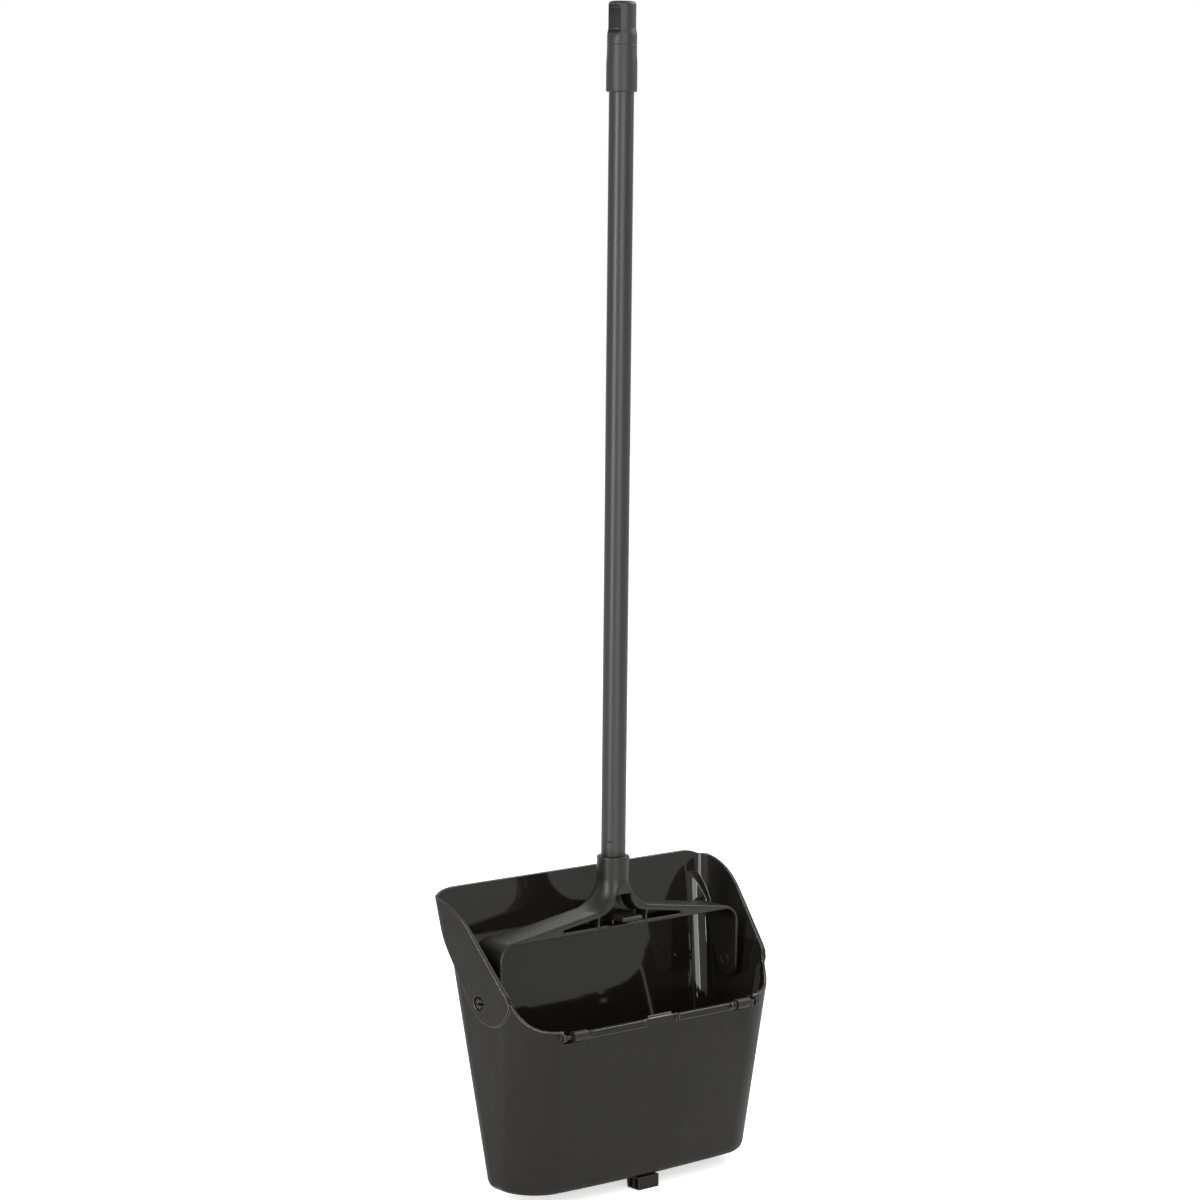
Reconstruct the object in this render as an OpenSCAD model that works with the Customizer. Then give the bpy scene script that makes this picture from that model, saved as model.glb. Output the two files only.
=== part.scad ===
// Lobby dustpan: a deep pan that hangs on two snap pins in a yoke at the foot of a long upright handle.
// Millimetres, +Z up, +Y towards the tall back wall, origin on the floor under the middle of the part.
// Depths are measured from an upright datum plane across the part, a little in front of the pivots.

/* [Pan] */
// outside width of the pan at its bottom
pan_bottom_w = 255.3; // [235:0.1:275]
// outside depth of the pan at its bottom
pan_bottom_d = 63.4; // [56:0.1:72]
// height of the pivot line above the pan's bottom
pivot_rise = 157.8; // [150:0.1:170]
// distance from the datum plane back to the back wall, at the bottom
datum_to_back = 20.7; // [17:0.1:25]
// drop of the straight front rim below the pivots
front_rim_drop = 19.9; // [17:0.1:24]
// lean of the side walls, in degrees
side_lean = 4.5; // [3:0.1:5]
// lean of the front wall, in degrees
front_lean = 6.3; // [5:0.1:8]
// lean of the back wall, in degrees
back_lean = 9.45; // [8:0.05:12]
// outward bow of the front wall at the bottom
front_bow = 3.4; // [0.5:0.1:6]
// radius of the two front corners
front_corner_r = 36; // [30:0.5:40]
// radius of the two back corners
back_corner_r = 20; // [14:0.5:26]
// radius along the bottom edge
bottom_edge_r = 6; // [4:0.5:9]
// thickness of the pan's walls
wall = 2.5; // [1.8:0.1:3]

/* [Mouth] */
// slope of the mouth's side edges, in degrees
mouth_slope = 49.6; // [45:0.1:54]
// radius that turns the sloped edge level at the top
mouth_top_r = 66; // [58:0.5:74]
// distance from the back wall forward to where the side edge is level
mouth_level = 1.5; // [0.5:0.1:3]
// height of the level side edge above the pivots
side_top_h = 81.6; // [79:0.1:83]
// height of the back wall's lip above the level side edges
lip_rise = 4.1; // [3:0.1:6]
// radius that rounds the lip down into the corners
lip_r = 40; // [30:0.5:50]
// radius of the scoop between the side edge and the front rim
scoop_r = 42; // [38:0.5:46]
// distance of the scoop's centre in front of the front wall
scoop_out = 13.6; // [12:0.1:16]

/* [Side panels] */
// how far the raised panels stand out from the side walls, level with the pivots
panel_proud = 2.3; // [1.6:0.1:3]
// lean of the raised side panels, in degrees
panel_lean = 6.2; // [5.4:0.1:7]
// radius of the panels' back corners
panel_corner_r = 13; // [10:0.5:18]
// radius of the panel's round lower end
ear_r = 26.5; // [23:0.5:29]
// distance of the round end's centre in front of the datum plane
ear_y = 7; // [5:0.1:10]
// height of the round end's centre above the pivots
ear_h = 9.3; // [7:0.1:11]
// slope of the panel's rear edge, in degrees
ear_slope = 59.2; // [55:0.1:64]
// height of the ledge where the side edge starts, above the pivots
ledge_h = 8.8; // [6:0.1:12]

/* [Front rim] */
// distance from the side walls in to the hinge notches, level with the rim
hinge_inset = 34.9; // [32:0.1:40]
// width of each hinge notch
notch_w = 21.7; // [19:0.1:24]
// depth of each hinge notch below the rim
notch_depth = 8.1; // [7.5:0.1:11]
// width of the bare middle between the two stiffening beads
bead_gap = 35.8; // [30:0.2:44]
// height of the stiffening beads
bead_h = 6; // [5:0.1:7.5]
// how far the beads stand out from the wall
bead_proud = 2.6; // [1.8:0.1:3.4]
// width of the raised tab in the middle of the rim
tab_w = 25.2; // [18:0.2:30]
// height of the tab above the rim
tab_h = 1.9; // [1:0.1:2.6]

/* [Dust flap] */
// distance of the hinge line in front of the front wall, level with the rim
hinge_out = 1.7; // [1.2:0.1:2.4]
// depth of the hinge line below the rim
hinge_drop = 2.1; // [1.6:0.1:3]
// radius of the flap's knuckles
knuckle_r = 4.5; // [4:0.1:5]
// length of each knuckle
knuckle_w = 14; // [10:0.1:16]
// radius of the hinge pins
flap_pin_r = 1.6; // [1.2:0.1:2]
// running clearance of the knuckles on their pins, on radius
flap_play = 0.06; // [0.02:0.01:0.1]
// distance of the flap's side edges in from the outer ends of the hinge notches
flap_inset = 10.6; // [9:0.1:18]
// length of the flap's plate below the hinge line
flap_len = 58; // [50:0.5:94]
// thickness of the flap's plate
flap_t = 1.3; // [1.2:0.1:2.6]
// space between the resting flap and the front wall
flap_gap = 1.2; // [0.8:0.1:1.6]

/* [Tipping foot] */
// width of the foot
foot_w = 22; // [18:0.5:30]
// depth of the foot along the floor
foot_d = 14.5; // [12:0.1:18]
// height of the foot
foot_h = 10.9; // [8:0.1:16]
// how far the foot's front face stands out in front of the pan's corners
foot_out = 2.8; // [1:0.1:4]
// thickness of the foot's ribs
foot_rib = 1.8; // [1.2:0.1:2.4]

/* [Yoke] */
// space between the arms and the pan's inside, level with the pivots
arm_gap = 6.6; // [5:0.1:9]
// thickness of the arms
arm_t = 3; // [2.4:0.1:3.6]
// height of the crossbar's underside above the pivots
crossbar_h = 46.3; // [44:0.1:50]
// thickness of the crossbar
crossbar_t = 3.5; // [2.6:0.1:4.4]
// rise of the legs above the crossbar, taken at the middle
leg_rise = 16.6; // [14:0.1:20]
// thickness of the legs above their windows
leg_t = 5.4; // [4:0.1:6.5]
// length of the two outer windows
window_w = 43.2; // [34:0.1:48]
// outer radius of the shoulders
shoulder_r = 17; // [14:0.5:20]
// inner radius of the shoulders
shoulder_in_r = 12; // [9:0.5:13]
// depth of the legs front to back
leg_d = 27.1; // [26.5:0.1:30]
// depth of the shoulders front to back
shoulder_d = 36.9; // [34:0.1:40]
// width of the arms level with the pivots
arm_w = 23.5; // [21:0.1:26]
// drop of the arms' round ends below the pivots
arm_drop = 15; // [13:0.1:16.5]
// distance between the two thin ribs
rib_span = 52; // [46:0.2:58]
// thickness of the thin ribs
rib_t = 1.6; // [1.2:0.1:2.4]
// thickness of the web behind the windows
web_t = 2.5; // [2:0.1:3.5]
// depth of the windows in front of the web
web_depth = 14; // [11:0.1:16]
// height of the middle window's arch above the legs' top
arch_rise = 7.6; // [5:0.1:9]
// radius of the arch's flared sides
arch_r = 16; // [14.5:0.1:16]

/* [Socket] */
// outside diameter of the socket
socket_od = 27.4; // [25:0.1:29]
// length of the socket above the arch
socket_len = 31.5; // [28:0.1:38]
// radius of the flare from the socket into the legs
flare_r = 27; // [20:0.5:30]
// diameter of the tip's spigot in the socket
spigot_d = 17; // [15:0.1:18]
// depth of the spigot in the socket
spigot_len = 22; // [16:0.1:23]

/* [Pivot pins] */
// distance of the pivot line behind the datum plane
pivot_y = 4.5; // [3:0.1:7]
// radius of the pins
pin_r = 4.3; // [3.6:0.1:5]
// running clearance of the pan on its pins, on radius
pin_play = 0.08; // [0.03:0.01:0.1]
// radius over the split heads
pin_head_r = 5.4; // [5:0.1:7]
// length of the split heads
pin_head_len = 2.5; // [1.8:0.1:3.2]
// width of the slit that splits each pin
pin_slit = 2.2; // [1.4:0.1:2.6]
// radius of the well around each head
pin_well_r = 6.5; // [6:0.1:8]
// depth of the well in the panel
pin_well_depth = 2.8; // [2.2:0.1:3]

/* [Rim catch] */
// width of the catch
catch_w = 21; // [16:0.2:26]
// how far the catch stands out in front of the yoke
catch_out = 12; // [9:0.1:12.4]
// height of the catch's plate above the crossbar
catch_rise = 4.2; // [3:0.1:6]
// thickness of the catch's plate at its front
catch_t = 3.3; // [2.4:0.1:4.2]

/* [Handle] */
// length of the handle above the socket
handle_len = 701.7; // [520:0.1:800]
// outside diameter of the tube
tube_od = 20.5; // [19:0.1:21]
// wall thickness of the tube
tube_wall = 1; // [0.8:0.1:1.2]
// height of the tip's collar between the socket and the tube
collar_h = 4.2; // [3:0.1:6]
// height of the crimps above the tube's end
crimp_h = 6.8; // [5:0.1:10]
// depth of the crimps
crimp_depth = 0.6; // [0.3:0.05:0.7]
// diameter of the grip sleeve at its top
sleeve_top_d = 24.4; // [23.5:0.1:26]
// diameter of the grip sleeve at its lower end
sleeve_low_d = 25.4; // [24:0.1:27]
// length of the grip sleeve
sleeve_len = 38; // [30:0.1:60]
// diameter of the hanger above its flange
hanger_d = 22.7; // [21.5:0.1:23.4]
// length of the hanger above the sleeve
hanger_len = 34.8; // [33:0.1:42]
// height of the hanger's flange
hanger_flange_h = 8.4; // [7:0.1:9]
// height of the sloping shoulder above the flange
hanger_shoulder_h = 4.6; // [3:0.1:6]
// width of the hanging eye
eye_w = 15.6; // [13:0.1:17]
// height of the hanging eye over its saddle
eye_h = 19.1; // [16:0.1:19.6]
// radius of the saddle under the hanging eye
saddle_r = 14; // [13:0.1:18]

/* [Hidden] */
$fn = 64;

// cutters reach this far past what they cut
over = 4;
// air between pieces that pass each other
air = 0.5;
// steps in each rounded corner of the pan
corner_steps = 10;
// steps along the bowed front wall
bow_steps = 8;
// bow that is left at the rim
least_bow = 0.2;

// heights from here on are measured from the pivot line
pan_z = -pivot_rise;
front_rim_z = -front_rim_drop;
front_rim_h = front_rim_z - pan_z;
back_top_z = side_top_h + lip_rise;
back_wall_h = back_top_z - pan_z;
loft_top_z = back_top_z + 4 * over;
floor_z = pan_z - foot_h;

function side_at(z) = pan_bottom_w / 2 + (z - pan_z) * tan(side_lean);
function front_at(z) = datum_to_back - pan_bottom_d - (z - pan_z) * tan(front_lean);
function back_at(z) = datum_to_back + (z - pan_z) * tan(back_lean);
function bow_at(z) = max(least_bow, front_bow * (front_rim_z - z) / front_rim_h);
function panel_at(z) = side_at(0) + panel_proud + z * tan(panel_lean);
// the panel's inside is flush with the pan's at the pivots and one wall behind the outside at the top
function panel_in_at(z) = side_at(0) - wall + z * (panel_at(side_top_h) - side_at(0)) / side_top_h;
// wider than anything on the pan
far_x = 2 * panel_at(back_top_z);
// the panels end this far short of the back wall's outside
panel_step = 0.4;

// hinge line of the dust flap
hinge_z = front_rim_z - hinge_drop;
hinge_y = front_at(front_rim_z) - hinge_out;
notch_z = front_rim_z - notch_depth;
notch_out = side_at(front_rim_z) - hinge_inset;
notch_in = notch_out - notch_w;
flap_half_w = notch_out - flap_inset;
lug_w = 3.4;
// the tab on the rim lies this far behind the wall's outside
tab_back = 0.8;
lug_out = notch_out + lug_w;
rim_boss_r = flap_pin_r + 1.6;
rim_boss_len = 6;
knuckle_in = notch_in + air;

// tipping foot and its two tangs
foot_front = foot_out - front_at(pan_z);
foot_rear = foot_d - foot_front;
tang_w = 5;
tang_t = 2.4;
tang_x = foot_w / 4;
tang_y = foot_rear - tang_t - 1;
barb = 1;

// frame: the middle of the part's depth lies over the origin
front_most = hinge_y - knuckle_r;
back_most = back_at(back_top_z);
frame_y = -(front_most + back_most) / 2;
frame_z = -floor_z;

// yoke
socket_r = socket_od / 2;
yoke_front = -9.5;
// the socket lies this far behind the yoke's front face
socket_back = 0.2;
tube_y = yoke_front + socket_r + socket_back;
leg_rear = yoke_front + leg_d;
shoulder_rear = yoke_front + shoulder_d;
arm_out = side_at(0) - wall - arm_gap;
arm_in = arm_out - arm_t;
web_front = yoke_front + web_depth;
web_rear = web_front + web_t;
crossbar_top = crossbar_h + crossbar_t;
shoulder_x = arm_out - shoulder_r;
// the legs come down to the crossbar's top where the shoulders begin
leg_top_h = crossbar_top + leg_rise;
leg_slope = atan(leg_rise / shoulder_x);
function leg_at(x) = leg_top_h - x * tan(leg_slope);
shoulder_z = crossbar_top - shoulder_r / cos(leg_slope);
arch_h = leg_top_h + arch_rise;
socket_top = arch_h + socket_len;
flare_end = socket_r + flare_r * (1 - sin(leg_slope));
// the flare runs this far into the legs, so that the two surfaces cross
flare_sink = 0.4;
flare_z = leg_at(flare_end) + flare_r * cos(leg_slope) - flare_sink;
rib_out = (rib_span + rib_t) / 2;
rib_in = (rib_span - rib_t) / 2;
window_tip = rib_out + window_w;
spigot_z = socket_top - spigot_len;

// rim catch
catch_front = yoke_front - catch_out;
catch_low = crossbar_top + catch_rise;
catch_top = catch_low + catch_t;
catch_root = 1.2;
catch_rib = 1.6;
catch_tang_w = catch_w - 6;
catch_tang_t = catch_t - 1;

// pivot pins
well_face = panel_at(0) - pin_well_depth;
head_face = well_face + air;
pin_end = head_face + pin_head_len;
pin_tip_r = 0.65 * pin_head_r;

// handle
tube_r = tube_od / 2;
tube_in_r = tube_r - tube_wall;
handle_top = socket_top + handle_len;
collar_top = socket_top + collar_h;
sleeve_top = handle_top - hanger_len;
sleeve_low = sleeve_top - sleeve_len;
flange_r = sleeve_top_d / 2;
flange_top = sleeve_top + hanger_flange_h;
shoulder_top = flange_top + hanger_shoulder_h;
tube_top = sleeve_top - 2;
plug_len = 30;
hanger_r = hanger_d / 2;
hanger_round = 3;
eye_top = handle_top - 3.2;
eye_low = eye_top - eye_h;
saddle_drop = saddle_r - sqrt(saddle_r * saddle_r - flange_r * flange_r) + air;
eye_r = 3;

charcoal = [0.20, 0.20, 0.19];
satin = [0.24, 0.24, 0.24];
tube_grey = [0.30, 0.30, 0.31];
grip_grey = [0.22, 0.22, 0.22];
steel = [0.62, 0.63, 0.64];

module in_frame() {
    translate([0, frame_y, frame_z])
        children();
}

module on_pivot_line() {
    translate([0, pivot_y, 0])
        children();
}

// draws a front view (x across, z up) from y0 to y1
module along_y(y0, y1) {
    translate([0, y1, 0])
        rotate([90, 0, 0])
            linear_extrude(y1 - y0)
                children();
}

// draws a side view (y back, z up) from x0 to x1
module along_x(x0, x1) {
    translate([x0, 0, 0])
        rotate([90, 0, 90])
            linear_extrude(x1 - x0)
                children();
}

// a rod along the pan's width
module rod_x(x0, x1, r) {
    translate([x0, 0, 0])
        rotate([0, 90, 0])
            cylinder(h = x1 - x0, r = r);
}

module both_sides() {
    children();
    mirror([1, 0, 0])
        children();
}

function arc(cx, cy, r, a0, a1, n) = [
    for (i = [0:n])
        [cx + r * cos(a0 + (a1 - a0) * i / n), cy + r * sin(a0 + (a1 - a0) * i / n)]
];

// a plan of the pan: round corners, and a front edge that bows outwards
function plan(w, yf, yb, rf, rb, bow) = concat(
    arc(w - rf, yf + rf, rf, -90, 0, corner_steps),
    arc(w - rb, yb - rb, rb, 0, 90, corner_steps),
    arc(rb - w, yb - rb, rb, 90, 180, corner_steps),
    arc(rf - w, yf + rf, rf, 180, 270, corner_steps),
    [
        for (i = [1:bow_steps - 1])
            let (u = 2 * i / bow_steps - 1)
                [u * (w - rf), yf - bow * (1 - u * u)]
    ]
);

function bucket_ring(z, inset) = [
    for (p = plan(
        side_at(z) - inset, front_at(z) + inset, back_at(z) - inset,
        front_corner_r - inset, back_corner_r - inset, bow_at(z)
    ))
        [p[0], p[1], z]
];

function panel_ring(z, half_w, inset) = [
    for (p = plan(
        half_w, front_at(z) + inset, back_at(z) - panel_step - inset,
        front_corner_r - inset, panel_corner_r - inset, least_bow
    ))
        [p[0], p[1], z]
];

// joins plans of one kind, from the lowest to the highest, into a closed solid
module loft(rings) {
    n = len(rings[0]);
    last = (len(rings) - 1) * n;
    polyhedron(
        points = [for (ring = rings) each ring],
        faces = concat(
            [[for (i = [0:n - 1]) i]],
            [[for (i = [n - 1:-1:0]) last + i]],
            [
                for (k = [0:len(rings) - 2], i = [0:n - 1])
                    [k * n + i, (k + 1) * n + i, (k + 1) * n + (i + 1) % n]
            ],
            [
                for (k = [0:len(rings) - 2], i = [0:n - 1])
                    [k * n + i, (k + 1) * n + (i + 1) % n, k * n + (i + 1) % n]
            ]
        )
    );
}

// the bucket, or with a thickness t its inside
module bucket(t) {
    r = bottom_edge_r - t;
    loft(concat(
        [for (a = [90, 60, 30, 0]) bucket_ring(pan_z + t + r * (1 - sin(a)), t + r * (1 - cos(a)))],
        [bucket_ring(front_rim_z, t), bucket_ring(loft_top_z + t, t)]
    ));
}

// side view of a raised panel with its round ear, drawn in by an inset
module ear_outline(inset) {
    rear = ear_r - inset;
    // the rear edge leaves the round end a little inside its tangent
    edge_r = rear - 0.2;
    foot_y = edge_r * sin(ear_slope) - ear_y;
    foot_z = ear_h - edge_r * cos(ear_slope);
    rise = loft_top_z + 2 * over - foot_z;
    union() {
        translate([-ear_y, ear_h])
            circle(rear);
        polygon([
            [-ear_y - rear, ear_h],
            [foot_y, foot_z],
            [foot_y + rise / tan(ear_slope), foot_z + rise],
            [-ear_y - rear, foot_z + rise]
        ]);
    }
}

module side_panels() {
    low = ear_h - ear_r - over;
    high = loft_top_z + over;
    intersection() {
        loft([panel_ring(low, panel_at(low), 0), panel_ring(high, panel_at(high), 0)]);
        along_x(-far_x, far_x)
            ear_outline(0);
    }
}

// the hollow behind the side panels
module panel_inside() {
    low = ear_h - ear_r - over;
    high = loft_top_z + 2 * over;
    intersection() {
        loft([panel_ring(low, panel_in_at(low), wall), panel_ring(high, panel_in_at(high), wall)]);
        along_x(-far_x, far_x)
            ear_outline(wall);
    }
}

// side view of everything below the pan's rim
module below_rim() {
    mouth_top_y = back_at(side_top_h) - mouth_level;
    slope_y = mouth_top_y - mouth_top_r * sin(mouth_slope);
    slope_z = side_top_h - mouth_top_r * (1 - cos(mouth_slope));
    ledge_y = slope_y - (slope_z - ledge_h) / tan(mouth_slope);
    lip_y = back_most - over;
    step_y = lip_y - 1.7 * lip_rise;
    far_y = back_most + 4 * over;
    near_y = front_at(0) - 2 * over;
    difference() {
        union() {
            polygon([
                [near_y, floor_z],
                [far_y, floor_z],
                [far_y, side_top_h - mouth_top_r],
                [mouth_top_y, side_top_h - mouth_top_r],
                [slope_y, slope_z],
                [ledge_y, ledge_h],
                [near_y, ledge_h]
            ]);
            translate([mouth_top_y, side_top_h - mouth_top_r])
                circle(mouth_top_r);
            polygon([
                [step_y, side_top_h - mouth_top_r],
                [far_y, side_top_h - mouth_top_r],
                [far_y, back_top_z],
                [lip_y, back_top_z],
                [step_y, side_top_h - 1]
            ]);
        }
        translate([front_at(front_rim_z) - scoop_out, front_rim_z + scoop_r + 0.3])
            circle(scoop_r);
    }
}

// front view of everything below the lip, which rounds down into the back corners
module below_lip() {
    lip_x = side_at(back_top_z) - back_corner_r - air;
    union() {
        translate([-far_x, floor_z])
            square([2 * far_x, side_top_h - floor_z]);
        translate([-lip_x, floor_z])
            square([2 * lip_x, back_top_z - floor_z]);
        both_sides()
            translate([lip_x, back_top_z - lip_r])
                circle(lip_r);
    }
}

// stiffening bead, hinge lug and pin boss on the right half of the front rim
module rim_fittings() {
    bead_y = front_at(front_rim_z) - bead_proud;
    lug_y = front_at(front_rim_z) + front_corner_r / 4;
    translate([bead_gap / 2, bead_y, front_rim_z - bead_h])
        cube([notch_in - bead_gap / 2, bead_proud + wall / 2, bead_h]);
    translate([notch_in - rim_boss_len, hinge_y, hinge_z])
        rod_x(0, rim_boss_len, rim_boss_r);
    translate([notch_out, hinge_y, hinge_z])
        rod_x(0, lug_w, rim_boss_r);
    translate([notch_out, hinge_y, hinge_z - rim_boss_r])
        cube([lug_w, lug_y - hinge_y, 2 * rim_boss_r]);
}

module pan_shell() {
    color(charcoal)
        in_frame()
            difference() {
                union() {
                    difference() {
                        intersection() {
                            union() {
                                bucket(0);
                                side_panels();
                            }
                            along_x(-far_x, far_x)
                                below_rim();
                            along_y(2 * front_at(0), 2 * back_most)
                                below_lip();
                        }
                        bucket(wall);
                        panel_inside();
                        // straight front rim between the corners
                        translate([-notch_out, front_at(0) - over, front_rim_z])
                            cube([2 * notch_out, -front_at(0) - ear_y, back_wall_h]);
                        // hinge notches
                        both_sides()
                            translate([notch_in, front_at(0) - over, notch_z])
                                cube([notch_w, 4 * over, front_rim_h]);
                    }
                    both_sides()
                        rim_fittings();
                    // raised tab in the middle of the rim
                    translate([-tab_w / 2, front_at(front_rim_z) + tab_back, front_rim_z - air])
                        cube([tab_w, wall + tab_back, tab_h + air]);
                }
                // pivot holes
                on_pivot_line()
                    rod_x(-far_x, far_x, pin_r + pin_play);
                // wells for the pins' heads
                on_pivot_line()
                    both_sides()
                        rod_x(well_face, far_x, pin_well_r);
                // holes for the hinge pins
                both_sides()
                    translate([0, hinge_y, hinge_z])
                        rod_x(notch_in - rim_boss_len, lug_out + over, flap_pin_r);
                // slots for the foot's tangs
                both_sides()
                    foot_tang(over);
            }
}

// one of the foot's two tangs, up to a height above the pan's floor
module foot_tang(high) {
    translate([tang_x - tang_w / 2, tang_y, pan_z - foot_rib])
        cube([tang_w, tang_t, foot_rib + wall + high]);
}

module tipping_foot() {
    mid = foot_d / 2 - foot_front;
    pocket_d = (foot_d - 3 * foot_rib) / 2;
    color(charcoal)
        in_frame()
            union() {
                difference() {
                    along_x(-foot_w / 2, foot_w / 2)
                        polygon([
                            [-foot_front, floor_z],
                            [foot_rear, floor_z],
                            [foot_rear + 2, pan_z],
                            [-foot_front, pan_z]
                        ]);
                    // cored pockets in both ends
                    both_sides()
                        for (y = [mid - foot_rib / 2 - pocket_d, mid + foot_rib / 2])
                            translate([foot_rib, y, floor_z + foot_rib])
                                cube([foot_w, pocket_d, foot_h - 2 * foot_rib]);
                }
                both_sides()
                    foot_tang(barb);
                // barbs that catch on the pan's floor
                both_sides()
                    translate([tang_x - tang_w / 2, tang_y - barb, pan_z + wall])
                        cube([tang_w, tang_t + barb, barb]);
            }
}

module dust_flap() {
    plate_top = hinge_z - 0.5;
    plate_low = hinge_z - flap_len;
    face_y = front_at(plate_top) + wall + flap_gap;
    slant = (plate_top - plate_low) * tan(front_lean);
    arm_z = hinge_z - knuckle_r + 1;
    relief_w = tab_w + 7;
    color(charcoal)
        in_frame()
            difference() {
                union() {
                    along_x(-flap_half_w, flap_half_w)
                        polygon([
                            [face_y, plate_top],
                            [face_y + flap_t, plate_top],
                            [face_y + flap_t + slant, plate_low],
                            [face_y + slant, plate_low]
                        ]);
                    both_sides()
                        translate([knuckle_in, hinge_y, hinge_z])
                            rod_x(0, knuckle_w, knuckle_r);
                    both_sides()
                        translate([knuckle_in, hinge_y, arm_z])
                            cube([knuckle_w, face_y + flap_t / 2 - hinge_y, knuckle_r - 1.5]);
                }
                // bores for the hinge pins
                both_sides()
                    translate([knuckle_in - over, hinge_y, hinge_z])
                        rod_x(0, knuckle_w + 2 * over, flap_pin_r + flap_play);
                // relief that passes the tab on the rim
                translate([-relief_w / 2, hinge_y, plate_top - relief_w / 4])
                    cube([relief_w, 4 * knuckle_r, relief_w]);
            }
}

module flap_pin() {
    color(steel)
        in_frame()
            translate([0, hinge_y, hinge_z])
                rod_x(notch_in - rim_boss_len, lug_out, flap_pin_r);
}

module flap_pin_left() {
    mirror([1, 0, 0])
        flap_pin();
}

module flap_pin_right() {
    flap_pin();
}

// front view of the yoke's outer edge
module yoke_outline() {
    // the legs end a little inside the shoulders' round
    end_r = shoulder_r - 0.1;
    end_x = shoulder_x + end_r * sin(leg_slope);
    end_z = shoulder_z + end_r * cos(leg_slope);
    difference() {
        union() {
            polygon([
                [-end_x, end_z],
                [0, leg_top_h],
                [end_x, end_z],
                [end_x, -arm_drop - over],
                [-end_x, -arm_drop - over]
            ]);
            both_sides()
                translate([shoulder_x, shoulder_z])
                    circle(shoulder_r);
            both_sides()
                translate([shoulder_x, -arm_drop - over])
                    square([shoulder_r, shoulder_z + arm_drop + over]);
        }
        // the space between the arms
        translate([-arm_in, -arm_drop - 2 * over])
            square([2 * arm_in, arm_drop + 2 * over + crossbar_h - shoulder_in_r]);
        translate([-arm_in + shoulder_in_r, -arm_drop])
            square([2 * (arm_in - shoulder_in_r), arm_drop + crossbar_h]);
        both_sides()
            translate([arm_in - shoulder_in_r, crossbar_h - shoulder_in_r])
                circle(shoulder_in_r);
    }
}

// side view that shapes the arms
module arm_profile() {
    end_r = arm_w / 2;
    mid_y = yoke_front + end_r;
    end_z = end_r - arm_drop;
    union() {
        polygon([
            [yoke_front, end_z],
            [yoke_front + arm_w, end_z],
            [shoulder_rear, shoulder_z],
            [shoulder_rear, socket_top],
            [yoke_front, socket_top]
        ]);
        translate([mid_y, end_z])
            circle(end_r);
    }
}

// top view that widens the legs into the shoulders
module leg_plan() {
    widen_x = shoulder_x - shoulder_r;
    polygon([
        [-arm_out - over, yoke_front],
        [arm_out + over, yoke_front],
        [arm_out + over, shoulder_rear],
        [arm_out, shoulder_rear],
        [widen_x, leg_rear],
        [-widen_x, leg_rear],
        [-arm_out, shoulder_rear],
        [-arm_out - over, shoulder_rear]
    ]);
}

// front view of the windows between the legs and the crossbar
module windows() {
    both_sides()
        polygon([
            [rib_out, crossbar_top],
            [window_tip, crossbar_top],
            [window_tip, max(crossbar_top + air, leg_at(window_tip) - leg_t)],
            [rib_out, leg_at(rib_out) - leg_t]
        ]);
    difference() {
        translate([-rib_in, crossbar_top])
            square([2 * rib_in, arch_h - crossbar_top]);
        both_sides()
            translate([rib_in - 1, arch_h])
                circle(arch_r);
    }
}

module yoke() {
    color(satin)
        in_frame()
            difference() {
                union() {
                    intersection() {
                        along_y(yoke_front - over, shoulder_rear + over)
                            yoke_outline();
                        along_x(-arm_out - over, arm_out + over)
                            arm_profile();
                        translate([0, 0, -arm_drop - over])
                            linear_extrude(socket_top + arm_drop)
                                leg_plan();
                    }
                    // flare of the socket into the legs
                    intersection() {
                        translate([0, tube_y, 0])
                            rotate_extrude()
                                difference() {
                                    translate([0, crossbar_top])
                                        square([flare_end, flare_z - crossbar_top]);
                                    translate([socket_r + flare_r, flare_z])
                                        circle(flare_r);
                                    translate([socket_r, crossbar_top - over])
                                        square([flare_end, arch_h - arch_r - crossbar_top]);
                                }
                        translate([-flare_end, yoke_front, crossbar_top])
                            cube([2 * flare_end, leg_d, socket_top]);
                    }
                    translate([0, tube_y, arch_h - 1])
                        cylinder(h = socket_top - arch_h + 1, r = socket_r);
                }
                // windows in front of the web and behind it
                along_y(yoke_front - over, web_front)
                    windows();
                along_y(web_rear, leg_rear + over)
                    windows();
                // socket for the tip's spigot
                translate([0, tube_y, spigot_z])
                    cylinder(h = spigot_len + over, d = spigot_d);
                // holes for the pivot pins
                on_pivot_line()
                    rod_x(-arm_out - over, arm_out + over, pin_r);
                // slot for the catch's tang
                translate([-catch_tang_w / 2, web_front - over, catch_low + air])
                    cube([catch_tang_w, web_t + 2 * over, catch_tang_t]);
            }
}

module rim_catch() {
    color(satin)
        in_frame()
            union() {
                along_x(-catch_w / 2, catch_w / 2)
                    polygon([
                        [catch_front, catch_low],
                        [web_front, catch_low],
                        [web_front, catch_top + catch_root],
                        [catch_front + catch_root, catch_top],
                        [catch_front, catch_top - catch_root / 2]
                    ]);
                // ribs that stand on the crossbar
                both_sides()
                    translate([catch_w / 2 - catch_rib, yoke_front + catch_rib, crossbar_top])
                        cube([catch_rib, web_depth - catch_rib, catch_rise + catch_t / 2]);
                translate([-catch_tang_w / 2, web_front - catch_rib, catch_low + air])
                    cube([catch_tang_w, web_t + catch_rib + 1, catch_tang_t]);
            }
}

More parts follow.
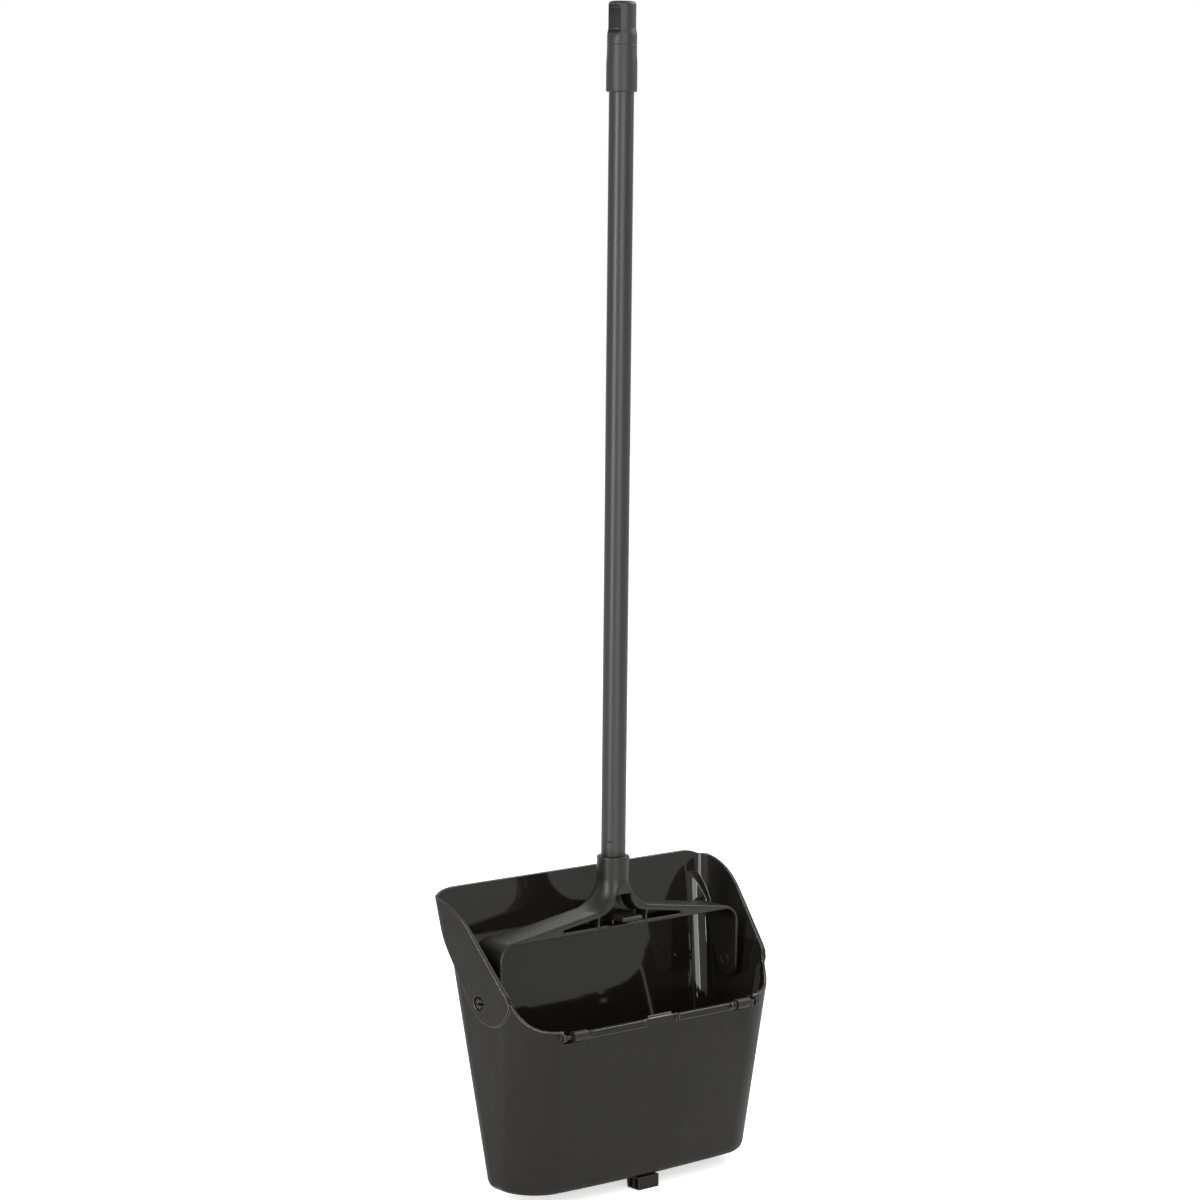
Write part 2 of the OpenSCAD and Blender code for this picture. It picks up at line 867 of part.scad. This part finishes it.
module pivot_pin() {
    color(satin)
        in_frame()
            on_pivot_line()
                difference() {
                    union() {
                        rod_x(arm_in, head_face, pin_r);
                        translate([head_face, 0, 0])
                            rotate([0, 90, 0])
                                cylinder(h = pin_head_len, r1 = pin_head_r, r2 = pin_tip_r);
                    }
                    // slit that lets the two prongs spring together
                    translate([arm_out + 1, -pin_head_r - over, -pin_slit / 2])
                        cube([pin_end, 2 * (pin_head_r + over), pin_slit]);
                }
}

module pivot_pin_left() {
    mirror([1, 0, 0])
        pivot_pin();
}

module pivot_pin_right() {
    pivot_pin();
}

module thread_tip() {
    color(satin)
        in_frame()
            translate([0, tube_y, 0])
                union() {
                    translate([0, 0, spigot_z])
                        cylinder(h = spigot_len + collar_h, d = spigot_d);
                    translate([0, 0, socket_top])
                        cylinder(h = collar_h, r = tube_r);
                    translate([0, 0, socket_top])
                        cylinder(h = collar_h + plug_len, r = tube_in_r);
                }
}

module handle_tube() {
    dent_r = 3;
    color(tube_grey)
        in_frame()
            translate([0, tube_y, 0])
                difference() {
                    translate([0, 0, collar_top])
                        cylinder(h = tube_top - collar_top, r = tube_r);
                    translate([0, 0, collar_top - over])
                        cylinder(h = tube_top - collar_top + 2 * over, r = tube_in_r);
                    // crimps that hold the tip
                    for (a = [-150, -60, 30, 120])
                        rotate([0, 0, a])
                            translate([tube_r + dent_r - crimp_depth, 0, collar_top + crimp_h])
                                sphere(dent_r);
                }
}

module grip_sleeve() {
    color(grip_grey)
        in_frame()
            translate([0, tube_y, sleeve_low])
                rotate_extrude()
                    polygon([
                        [tube_r, 0],
                        [sleeve_low_d / 2 - 0.8, 0],
                        [sleeve_low_d / 2, 1.2],
                        [sleeve_low_d / 2, sleeve_len * 0.7],
                        [sleeve_top_d / 2, sleeve_len * 0.85],
                        [sleeve_top_d / 2, sleeve_len],
                        [tube_r, sleeve_len]
                    ]);
}

module hanger_cap() {
    color(grip_grey)
        in_frame()
            translate([0, tube_y, 0])
                difference() {
                    rotate_extrude()
                        union() {
                            polygon([
                                [0, tube_top - plug_len],
                                [tube_in_r, tube_top - plug_len],
                                [tube_in_r, tube_top],
                                [tube_r, tube_top],
                                [tube_r, sleeve_top],
                                [flange_r, sleeve_top],
                                [flange_r, flange_top],
                                [hanger_r, shoulder_top],
                                [hanger_r, handle_top - hanger_round],
                                [hanger_r - hanger_round, handle_top],
                                [0, handle_top]
                            ]);
                            translate([hanger_r - hanger_round, handle_top - hanger_round])
                                circle(hanger_round);
                        }
                    // hanging eye, right through over a saddle
                    difference() {
                        along_x(-hanger_d, hanger_d)
                            union() {
                                translate([-eye_w / 2, eye_low - saddle_drop])
                                    square([eye_w, eye_h + saddle_drop - eye_r]);
                                translate([eye_r - eye_w / 2, eye_low])
                                    square([eye_w - 2 * eye_r, eye_h]);
                                for (s = [-1, 1])
                                    translate([s * (eye_w / 2 - eye_r), eye_top - eye_r])
                                        circle(eye_r);
                            }
                        translate([0, 0, eye_low - saddle_r])
                            rotate([90, 0, 0])
                                cylinder(h = 2 * hanger_d, r = saddle_r, center = true);
                    }
                }
}

pan_shell();
tipping_foot();
dust_flap();
flap_pin_left();
flap_pin_right();
yoke();
rim_catch();
pivot_pin_left();
pivot_pin_right();
thread_tip();
handle_tube();
grip_sleeve();
hanger_cap();
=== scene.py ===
import math

import bmesh
import bpy
from mathutils import Matrix, Vector
from mathutils.geometry import intersect_point_line


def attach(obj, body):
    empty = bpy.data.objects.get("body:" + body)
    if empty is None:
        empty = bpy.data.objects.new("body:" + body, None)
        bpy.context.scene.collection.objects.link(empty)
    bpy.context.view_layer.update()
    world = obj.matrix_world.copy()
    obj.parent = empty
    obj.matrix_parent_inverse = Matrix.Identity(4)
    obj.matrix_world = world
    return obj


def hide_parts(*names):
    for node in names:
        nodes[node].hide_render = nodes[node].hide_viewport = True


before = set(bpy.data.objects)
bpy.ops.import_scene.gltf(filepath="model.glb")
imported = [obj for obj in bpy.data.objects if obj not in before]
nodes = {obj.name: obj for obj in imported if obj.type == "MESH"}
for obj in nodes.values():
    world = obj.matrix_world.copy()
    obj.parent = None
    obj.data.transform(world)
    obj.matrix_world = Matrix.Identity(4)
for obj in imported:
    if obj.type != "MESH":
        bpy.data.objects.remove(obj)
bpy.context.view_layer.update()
MM = 0.001

# the pan's walls in millimetres: heights from the pivot line, depths from the datum plane
PIVOT_HEIGHT = 168.7
DATUM_DEPTH = 1.4474
WALL = 2.5
PAN_BOTTOM = -157.8
SIDE_FOOT, SIDE_LEAN = 127.65, 4.5
FRONT_FOOT, FRONT_LEAN = -42.7, 6.3
BACK_FOOT, BACK_LEAN = 20.7, 9.45
RIM_LOW = -60
PAN_COURSES = 40

# the pan's finishes, in the order of its material slots
MATT, RIM, GLOSS = 0, 1, 2


def at(x, y, z):
    """A point of the part, from millimetres round the pivots to metres on the floor."""
    return Vector((x, y + DATUM_DEPTH, z + PIVOT_HEIGHT)) * MM


def leaning(foot, lean, z):
    return foot + (z - PAN_BOTTOM) * math.tan(math.radians(lean))


def set_camera():
    """The photograph's view: a long lens in front of the pan and to its left."""
    turn, tip, roll = (math.radians(a) for a in (40.54, 6.82, 0.59))
    across = Vector((math.cos(turn), -math.sin(turn), 0))
    away = Vector((math.sin(turn), math.cos(turn), 0))
    ahead = away * math.cos(tip) - Vector((0, 0, math.sin(tip)))
    upright = away * math.sin(tip) + Vector((0, 0, math.cos(tip)))
    right = across * math.cos(roll) + upright * math.sin(roll)
    up = upright * math.cos(roll) - across * math.sin(roll)
    eye = right * -12.81 + up * 317.52 - ahead * 2821.23
    camera = bpy.data.objects.new("camera", bpy.data.cameras.new("camera"))
    camera.data.sensor_width = 36
    camera.data.lens = 3374.5 * 36 / 1200
    camera.data.clip_end = 50
    turned = Matrix((right, up, -ahead)).transposed().to_4x4()
    camera.matrix_world = Matrix.Translation(at(*eye)) @ turned
    bpy.context.scene.collection.objects.link(camera)
    bpy.context.scene.camera = camera


# shader node groups


def new_group(name, inputs, outputs):
    group = bpy.data.node_groups.new(name, "ShaderNodeTree")
    for label, value in inputs:
        socket = group.interface.new_socket(label, in_out="INPUT", socket_type="NodeSocketFloat")
        socket.default_value = value
    for label in outputs:
        group.interface.new_socket(label, in_out="OUTPUT", socket_type="NodeSocketFloat")
    return group, group.nodes.new("NodeGroupInput"), group.nodes.new("NodeGroupOutput")


def add(tree, kind, values=None, **settings):
    node = tree.nodes.new(kind)
    for key, value in settings.items():
        setattr(node, key, value)
    for key, value in (values or {}).items():
        node.inputs[key].default_value = value
    return node


def moulded_skin():
    """Fine moulded grain, a slow mottle and faint upright rub marks."""
    group, inside, outside = new_group(
        "moulded_skin", [("Grain Size", 900.0), ("Mottle Size", 14.0)], ["Grain", "Mottle", "Rub"]
    )
    link = group.links.new
    place = add(group, "ShaderNodeTexCoord")
    fine = add(group, "ShaderNodeTexNoise", {"Detail": 3.0, "Roughness": 0.6})
    cells = add(group, "ShaderNodeTexVoronoi", {"Randomness": 1.0})
    slow = add(group, "ShaderNodeTexNoise", {"Detail": 5.0, "Roughness": 0.55})
    marks = add(group, "ShaderNodeTexNoise", {"Detail": 6.0, "Roughness": 0.65})
    stretch = add(group, "ShaderNodeMapping", {"Scale": (3.0, 3.0, 0.6)})
    both = add(group, "ShaderNodeMath", {1: 0.5}, operation="MULTIPLY_ADD")
    for texture in (fine, cells, slow, stretch):
        link(place.outputs["Object"], texture.inputs["Vector"])
    link(stretch.outputs["Vector"], marks.inputs["Vector"])
    link(inside.outputs["Grain Size"], fine.inputs["Scale"])
    link(inside.outputs["Grain Size"], cells.inputs["Scale"])
    link(inside.outputs["Mottle Size"], slow.inputs["Scale"])
    link(inside.outputs["Mottle Size"], marks.inputs["Scale"])
    link(cells.outputs["Distance"], both.inputs[0])
    link(fine.outputs["Fac"], both.inputs[2])
    link(both.outputs["Value"], outside.inputs["Grain"])
    link(slow.outputs["Fac"], outside.inputs["Mottle"])
    link(marks.outputs["Fac"], outside.inputs["Rub"])
    return group


def edge_wear_and_highlight():
    """Where an edge is lit pale, partly rub wear and partly a painted highlight: the rounded-over
    normal leaves the face's own.
    """
    group, inside, outside = new_group("edge_wear_and_highlight", [("Width", 0.001), ("Break", 0.6)], ["Edge"])
    link = group.links.new
    rounded = add(group, "ShaderNodeBevel", samples=4)
    face = add(group, "ShaderNodeNewGeometry")
    same = add(group, "ShaderNodeVectorMath", operation="DOT_PRODUCT")
    spread = add(group, "ShaderNodeMapRange", {"From Min": 0.99, "From Max": 0.75})
    place = add(group, "ShaderNodeTexCoord")
    patches = add(group, "ShaderNodeTexNoise", {"Scale": 60.0, "Detail": 4.0})
    rest = add(group, "ShaderNodeMath", {2: 0.35}, operation="MULTIPLY_ADD")
    broken = add(group, "ShaderNodeMath", operation="MULTIPLY")
    link(inside.outputs["Width"], rounded.inputs["Radius"])
    link(rounded.outputs["Normal"], same.inputs[0])
    link(face.outputs["Normal"], same.inputs[1])
    link(same.outputs["Value"], spread.inputs["Value"])
    link(place.outputs["Object"], patches.inputs["Vector"])
    link(patches.outputs["Fac"], rest.inputs[0])
    link(inside.outputs["Break"], rest.inputs[1])
    link(spread.outputs["Result"], broken.inputs[0])
    link(rest.outputs["Value"], broken.inputs[1])
    link(broken.outputs["Value"], outside.inputs["Edge"])
    return group


def slack_wall():
    """The slow waves of a thin moulded wall, which bend what it mirrors."""
    group, inside, outside = new_group("slack_wall", [("Wave", 9.0), ("Depth", 0.0003)], ["Height"])
    link = group.links.new
    place = add(group, "ShaderNodeTexCoord")
    upright = add(group, "ShaderNodeMapping", {"Scale": (1.0, 1.0, 0.55)})
    waves = add(group, "ShaderNodeTexNoise", {"Detail": 0.6, "Roughness": 0.3})
    deep = add(group, "ShaderNodeMath", operation="MULTIPLY")
    link(place.outputs["Object"], upright.inputs["Vector"])
    link(upright.outputs["Vector"], waves.inputs["Vector"])
    link(inside.outputs["Wave"], waves.inputs["Scale"])
    link(waves.outputs["Fac"], deep.inputs[0])
    link(inside.outputs["Depth"], deep.inputs[1])
    link(deep.outputs["Value"], outside.inputs["Height"])
    return group


SKIN = moulded_skin()
EDGE_WEAR_AND_HIGHLIGHT = edge_wear_and_highlight()
SLACK = slack_wall()


def finish(name, tint, depth, edge, rough, grain, bump, wave=0.0, **shader_values):
    """A dyed plastic or a paint: mottled colour, pale edges of rub wear and painted highlight,
    grain in the bump.
    """
    material = bpy.data.materials.new(name)
    material.use_nodes = True
    tree = material.node_tree
    tree.nodes.clear()
    link = tree.links.new
    out = add(tree, "ShaderNodeOutputMaterial")
    values = {key.replace("_", " "): value for key, value in shader_values.items()}
    shader = add(tree, "ShaderNodeBsdfPrincipled", values)
    skin = add(tree, "ShaderNodeGroup", node_tree=SKIN)
    skin.inputs["Grain Size"].default_value = grain
    wear_and_highlight = add(tree, "ShaderNodeGroup", node_tree=EDGE_WEAR_AND_HIGHLIGHT)
    dark, light = ([c * share for c in tint] + [1] for share in depth)
    mottled = add(tree, "ShaderNodeMix", {6: dark, 7: light}, data_type="RGBA")
    # edge colour: rub wear plus a painted highlight along every rounded edge
    edged = add(tree, "ShaderNodeMix", {7: [c * edge for c in tint] + [1]}, data_type="RGBA")
    spread = add(tree, "ShaderNodeMapRange", {"From Min": 0.3, "From Max": 0.7})
    spread.inputs["To Min"].default_value, spread.inputs["To Max"].default_value = rough
    relief = add(tree, "ShaderNodeBump", {"Strength": bump, "Distance": 0.0003})
    link(skin.outputs["Mottle"], mottled.inputs[0])
    link(mottled.outputs[2], edged.inputs[6])
    link(wear_and_highlight.outputs["Edge"], edged.inputs[0])
    link(edged.outputs[2], shader.inputs["Base Color"])
    link(skin.outputs["Rub"], spread.inputs["Value"])
    link(spread.outputs["Result"], shader.inputs["Roughness"])
    link(skin.outputs["Grain"], relief.inputs["Height"])
    link(relief.outputs["Normal"], shader.inputs["Normal"])
    link(shader.outputs["BSDF"], out.inputs["Surface"])
    if wave:
        slack = add(tree, "ShaderNodeGroup", node_tree=SLACK)
        slack.inputs["Depth"].default_value = wave
        bent = add(tree, "ShaderNodeBump", {"Strength": 1.0, "Distance": 1.0})
        link(slack.outputs["Height"], bent.inputs["Height"])
        link(bent.outputs["Normal"], relief.inputs["Normal"])
    return material


WARM = (1.0, 0.955, 0.7)
PLAIN = (1.0, 0.985, 0.975)
PAN_OUTSIDE = finish(
    "pan_outside", WARM, (0.0065, 0.0095), 0.1, (0.46, 0.56), 1300, 0.3, Specular_IOR_Level=0.17
)
# the rim's rounded edges: a glossier finish of the same plastic, with a slightly lighter base
# colour as a painted highlight
PAN_RIM_GLOSS_AND_HIGHLIGHT = finish(
    "pan_rim_gloss_and_highlight", WARM, (0.009, 0.012), 0.04, (0.13, 0.2), 1300, 0.05, Specular_IOR_Level=0.65
)
PAN_INSIDE = finish(
    "pan_inside", WARM, (0.006, 0.008), 0.1, (0.04, 0.075), 700, 0.02, wave=0.0004
)
FLAP_SKIN = finish(
    "flap_skin", WARM, (0.007, 0.010), 0.08, (0.4, 0.5), 1300, 0.2, Specular_IOR_Level=0.25
)
YOKE_SKIN = finish(
    "yoke_skin", WARM, (0.0045, 0.0065), 0.1, (0.29, 0.38), 1500, 0.18, Specular_IOR_Level=0.34
)
TUBE_PAINT = finish(
    "tube_paint", PLAIN, (0.0115, 0.0145), 0.09, (0.33, 0.4), 2200, 0.12, Specular_IOR_Level=0.42
)
GRIP_SKIN = finish(
    "grip_skin", PLAIN, (0.012, 0.016), 0.08, (0.36, 0.46), 1700, 0.3, Specular_IOR_Level=0.38
)
PIN_WIRE = finish("pin_wire", PLAIN, (0.03, 0.05), 0.15, (0.35, 0.5), 2400, 0.1, Metallic=1.0)


# meshes


def welded(node):
    """The node's solid as one welded mesh."""
    form = bmesh.new()
    form.from_mesh(nodes[node].data)
    bmesh.ops.remove_doubles(form, verts=form.verts, dist=1e-6)
    return form


def piece(name, form, node, body, slot, *materials):
    mesh = bpy.data.meshes.new(name)
    form.to_mesh(mesh)
    form.free()
    made = bpy.data.objects.new(name, mesh)
    bpy.context.scene.collection.objects.link(made)
    for material in materials:
        mesh.materials.append(material)
    for face in mesh.polygons:
        face.use_smooth = True
    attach(made, body)
    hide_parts(node)
    return made


def keep_flats(made, angle=30):
    """Round faces shade round, and flat ones stay flat."""
    made.data.set_sharp_from_angle(angle=math.radians(angle))
    flat = made.modifiers.new("flat_faces_lead", "WEIGHTED_NORMAL")
    flat.keep_sharp = True
    return made


def crowded(edge, sharp, room):
    """Whether a face beside this edge is too narrow to be rounded over on both sides."""
    first, last = (v.co for v in edge.verts)
    middle = (first + last) / 2
    along = (last - first).normalized()
    for face in edge.link_faces:
        for other in face.edges:
            if other is edge or other not in sharp:
                continue
            start, end = (v.co for v in other.verts)
            share = intersect_point_line(middle, start, end)[1]
            gap = start.lerp(end, min(1, max(0, share))) - middle
            if gap.length < room and abs(gap.dot(along)) < 0.6 * gap.length:
                return True
    return False


def round_over(form, width, steps, bend=28, courses=(), finish_index=0):
    """Rounds sharp edges over by a width in millimetres, then cuts the walls into courses."""
    bmesh.ops.dissolve_limit(
        form, angle_limit=math.radians(0.4), verts=form.verts, edges=form.edges
    )
    sharp = {
        e for e in form.edges
        if len(e.link_faces) == 2 and e.calc_face_angle(0) > math.radians(bend)
    }
    chosen = [e for e in form.edges if e in sharp and not crowded(e, sharp, width * 1.5 * MM)]
    rounds = bmesh.ops.bevel(
        form, geom=chosen, offset=width * MM, offset_type="OFFSET", segments=steps, profile=0.5,
        affect="EDGES", clamp_overlap=False,
    )
    for face in rounds["faces"]:
        face.material_index = finish_index
    for height in courses:
        bmesh.ops.bisect_plane(
            form, geom=form.verts[:] + form.edges[:] + form.faces[:], dist=1e-6,
            plane_co=(0, 0, height), plane_no=(0, 0, 1),
        )
    return form


def cast(name, node, body, slot, material, grain, passes):
    """A node recast on a fine grid, so that every edge has a small moulded radius."""
    form = welded(node)
    rough = bpy.data.meshes.new(name + "_rough")
    form.to_mesh(rough)
    form.free()
    blank = bpy.data.objects.new(name + "_rough", rough)
    bpy.context.scene.collection.objects.link(blank)
    grid = blank.modifiers.new("grid", "REMESH")
    grid.mode = "VOXEL"
    grid.voxel_size = grain * MM
    ready = blank.evaluated_get(bpy.context.evaluated_depsgraph_get()).to_mesh()
    form = bmesh.new()
    form.from_mesh(ready)
    bpy.data.objects.remove(blank)
    for _ in range(passes):
        bmesh.ops.smooth_vert(
            form, verts=form.verts, factor=0.5, use_axis_x=True, use_axis_y=True, use_axis_z=True
        )
    return piece(name, form, node, body, slot, material)


def pan_face_kind(face):
    """Matt for the outside and the rim's flats, gloss for the inside."""
    x, y, z = face.center / MM
    y, z = y - DATUM_DEPTH, z - PIVOT_HEIGHT
    beside = abs(x) < leaning(SIDE_FOOT, SIDE_LEAN, z) - WALL / 2
    back = leaning(BACK_FOOT, BACK_LEAN, z)
    front = leaning(FRONT_FOOT, -FRONT_LEAN, z)
    between = front + WALL / 2 < y < back - WALL / 2
    facing_in = face.normal.x * x + face.normal.y * (y - (front + back) / 2) < 0
    on_floor = face.normal.z > 0.6 and z < RIM_LOW
    on_rim = face.normal.z > 0.25 and z > RIM_LOW
    above_floor = z > PAN_BOTTOM + WALL / 2
    if beside and between and above_floor and (facing_in or on_floor) and not on_rim:
        return GLOSS
    return MATT


def pan():
    foot, rim = (corner.z for corner in spans("pan_shell"))
    courses = [foot + (rim - foot) * step / PAN_COURSES for step in range(2, PAN_COURSES)]
    form = round_over(welded("pan_shell"), 0.6, 3, courses=courses, finish_index=RIM)
    made = piece("pan", form, "pan_shell", "pan", "pan_plastic", PAN_OUTSIDE, PAN_RIM_GLOSS_AND_HIGHLIGHT, PAN_INSIDE)
    for face in made.data.polygons:
        if face.material_index == MATT:
            face.material_index = pan_face_kind(face)
    return keep_flats(made)


def spans(node):
    """The node's own box, in metres."""
    points = [v.co for v in nodes[node].data.vertices]
    low = Vector([min(p[i] for p in points) for i in range(3)])
    high = Vector([max(p[i] for p in points) for i in range(3)])
    return low, high


def turned(rings, centre, around):
    """A ring-shaped solid from a closed run of (radius, height, dent) rings."""
    form = bmesh.new()
    rows = []
    for radius, height, dent in rings:
        row = []
        for step in range(around):
            angle = math.tau * step / around
            reach = radius - (dent(angle, height) if dent else 0)
            row.append(form.verts.new((
                centre.x + reach * math.cos(angle), centre.y + reach * math.sin(angle), height
            )))
        rows.append(row)
    for low, high in zip(rows, rows[1:] + rows[:1]):
        for step in range(around):
            after = (step + 1) % around
            form.faces.new((low[step], low[after], high[after], high[step]))
    bmesh.ops.recalc_face_normals(form, faces=form.faces)
    return form


TUBE_WALL = 1.0 * MM
TUBE_RINGS = 40
CRIMP_RISE = 6.8 * MM
CRIMP_WIDTH = 2.1 * MM
CRIMP_DEPTH = 0.95 * MM
CRIMP_ANGLES = [math.radians(a) for a in (-150, -60, 30, 120)]


def tube():
    """The drawn tube, with the four crimps that hold its tip."""
    low, high = spans("handle_tube")
    radius = (high.x - low.x) / 2
    centre = (low + high) / 2
    edge = 0.35 * MM

    def crimp(angle, height):
        depth = 0
        for middle in CRIMP_ANGLES:
            across = math.remainder(angle - middle, math.tau) * radius
            away = math.hypot(across, height - low.z - CRIMP_RISE) / CRIMP_WIDTH
            if away < 1:
                depth = CRIMP_DEPTH * (1 - away * away) ** 1.5
        return depth

    rings = [(radius - edge, low.z, None), (radius - 0.3 * edge, low.z + 0.3 * edge, None)]
    rings.append((radius, low.z + edge, None))
    heights = [low.z + CRIMP_RISE + (step - 12) * CRIMP_WIDTH / 10 for step in range(25)]
    rings += [(radius, height, crimp) for height in heights]
    top = high.z - edge
    rise = (top - heights[-1]) / TUBE_RINGS
    rings += [(radius, heights[-1] + rise * (step + 1), None) for step in range(TUBE_RINGS)]
    rings.append((radius - edge, high.z, None))
    rings += [(radius - TUBE_WALL, high.z, None), (radius - TUBE_WALL, low.z, None)]
    form = turned(rings, centre, 128)
    made = piece("tube", form, "handle_tube", "handle", "tube_paint", TUBE_PAINT)
    return keep_flats(made, 50)


def sleeve():
    """The grip sleeve: rounded ends and a soft swell towards its foot."""
    low, high = spans("grip_sleeve")
    wide = (high.x - low.x) / 2
    neck = wide - 0.5 * MM
    bore = (spans("handle_tube")[1].x - spans("handle_tube")[0].x) / 2
    long = high.z - low.z
    round_foot, round_top = 1.1 * MM, 0.45 * MM
    rings = [(bore, low.z, None)]
    for step in range(7):
        turn = math.pi / 2 * step / 6
        reach = wide - round_foot * (1 - math.sin(turn))
        rings.append((reach, low.z + round_foot * (1 - math.cos(turn)), None))
    for step in range(1, 25):
        share = step / 24
        ease = 0.5 - 0.5 * math.cos(math.pi * min(1, max(0, (share - 0.55) / 0.35)))
        height = low.z + round_foot + (long - round_foot - round_top) * share
        rings.append((wide - (wide - neck) * ease, height, None))
    for step in range(1, 6):
        turn = math.pi / 2 * step / 5
        reach = neck - round_top * (1 - math.cos(turn))
        rings.append((reach, high.z - round_top * (1 - math.sin(turn)), None))
    rings.append((bore, high.z, None))
    form = turned(rings, (low + high) / 2, 96)
    made = piece("sleeve", form, "grip_sleeve", "handle", "grip_plastic", GRIP_SKIN)
    return keep_flats(made, 40)


def yoke_pieces():
    cast("yoke_frame", "yoke", "handle", "yoke_plastic", YOKE_SKIN, 0.75, 3)
    cast("catch", "rim_catch", "handle", "yoke_plastic", YOKE_SKIN, 0.4, 3)
    for side in ("left", "right"):
        cast("snap_pin_" + side, "pivot_pin_" + side, "handle", "yoke_plastic", YOKE_SKIN, 0.25, 3)
    form = round_over(welded("thread_tip"), 0.3, 2)
    keep_flats(piece("tip_collar", form, "thread_tip", "handle", "yoke_plastic", YOKE_SKIN))


def pan_fittings():
    form = round_over(welded("tipping_foot"), 0.4, 3)
    keep_flats(piece("foot", form, "tipping_foot", "pan", "pan_plastic", PAN_OUTSIDE))
    form = round_over(welded("dust_flap"), 0.25, 2)
    keep_flats(piece("flap", form, "dust_flap", "flap", "pan_plastic", FLAP_SKIN))
    for side in ("left", "right"):
        wire = nodes["flap_pin_" + side].data.materials
        wire.clear()
        wire.append(PIN_WIRE)


set_camera()
pan()
pan_fittings()
yoke_pieces()
tube()
sleeve()
cast("hanger", "hanger_cap", "handle", "grip_plastic", GRIP_SKIN, 0.42, 3)


# studio


def soft_box(name, bearing, height, size, glow, away=2.2):
    """A light screen at a bearing round the part, as bright as a number of white papers."""
    light = bpy.data.lights.new(name, "AREA")
    light.shape = "RECTANGLE"
    light.size, light.size_y = size
    light.energy = glow * math.pi * size[0] * size[1]
    turn = math.radians(bearing)
    place = Vector((away * math.cos(turn), away * math.sin(turn), height))
    lamp = bpy.data.objects.new(name, light)
    lamp.location = place
    lamp.rotation_euler = (Vector((0, 0, 0.45)) - place).to_track_quat("-Z", "Y").to_euler()
    lamp.visible_camera = False
    bpy.context.scene.collection.objects.link(lamp)


def white_room():
    """White behind the part, and a duller white for what the part mirrors."""
    world = bpy.data.worlds.new("white_studio")
    bpy.context.scene.world = world
    world.use_nodes = True
    tree = world.node_tree
    tree.nodes.clear()
    link = tree.links.new
    out = add(tree, "ShaderNodeOutputWorld")
    seen = add(tree, "ShaderNodeBackground", {"Color": (1, 1, 1, 1), "Strength": 1.0})
    room = add(tree, "ShaderNodeBackground", {"Color": (1, 1, 1, 1), "Strength": 0.68})
    path = add(tree, "ShaderNodeLightPath")
    choose = add(tree, "ShaderNodeMixShader")
    link(path.outputs["Is Camera Ray"], choose.inputs[0])
    link(room.outputs[0], choose.inputs[1])
    link(seen.outputs[0], choose.inputs[2])
    link(choose.outputs[0], out.inputs["Surface"])


def pale_floor():
    """A plain floor, which glows a little more for the camera than for the part."""
    floor = bpy.data.meshes.new("floor")
    floor.from_pydata([(-6, -6, 0), (6, -6, 0), (6, 6, 0), (-6, 6, 0)], [], [(0, 1, 2, 3)])
    ground = bpy.data.objects.new("floor", floor)
    bpy.context.scene.collection.objects.link(ground)
    pale = bpy.data.materials.new("pale_floor")
    pale.use_nodes = True
    tree = pale.node_tree
    paint = tree.nodes["Principled BSDF"]
    paint.inputs["Base Color"].default_value = (0.85, 0.85, 0.85, 1)
    paint.inputs["Roughness"].default_value = 0.9
    paint.inputs["Emission Color"].default_value = (1, 1, 1, 1)
    path = add(tree, "ShaderNodeLightPath")
    lift = add(tree, "ShaderNodeMath", {1: 0.3, 2: 0.3}, operation="MULTIPLY_ADD")
    tree.links.new(path.outputs["Is Camera Ray"], lift.inputs[0])
    tree.links.new(lift.outputs["Value"], paint.inputs["Emission Strength"])
    floor.materials.append(pale)


def studio():
    white_room()
    soft_box("front_box", 251, 1.05, (0.85, 2.0), 4.2)
    soft_box("front_strip", 238, 1.05, (0.16, 1.7), 9)
    soft_box("left_box", 188, 1.05, (0.28, 2.0), 25)
    soft_box("right_box", 335, 1.6, (0.5, 1.3), 3)
    soft_box("rim_box", 345, 1.95, (1.1, 1.1), 7, away=1.45)
    soft_box("back_box", 62, 1.5, (1.2, 0.9), 0.8, away=1.9)
    pale_floor()
    bpy.context.scene.view_settings.view_transform = "Standard"


studio()
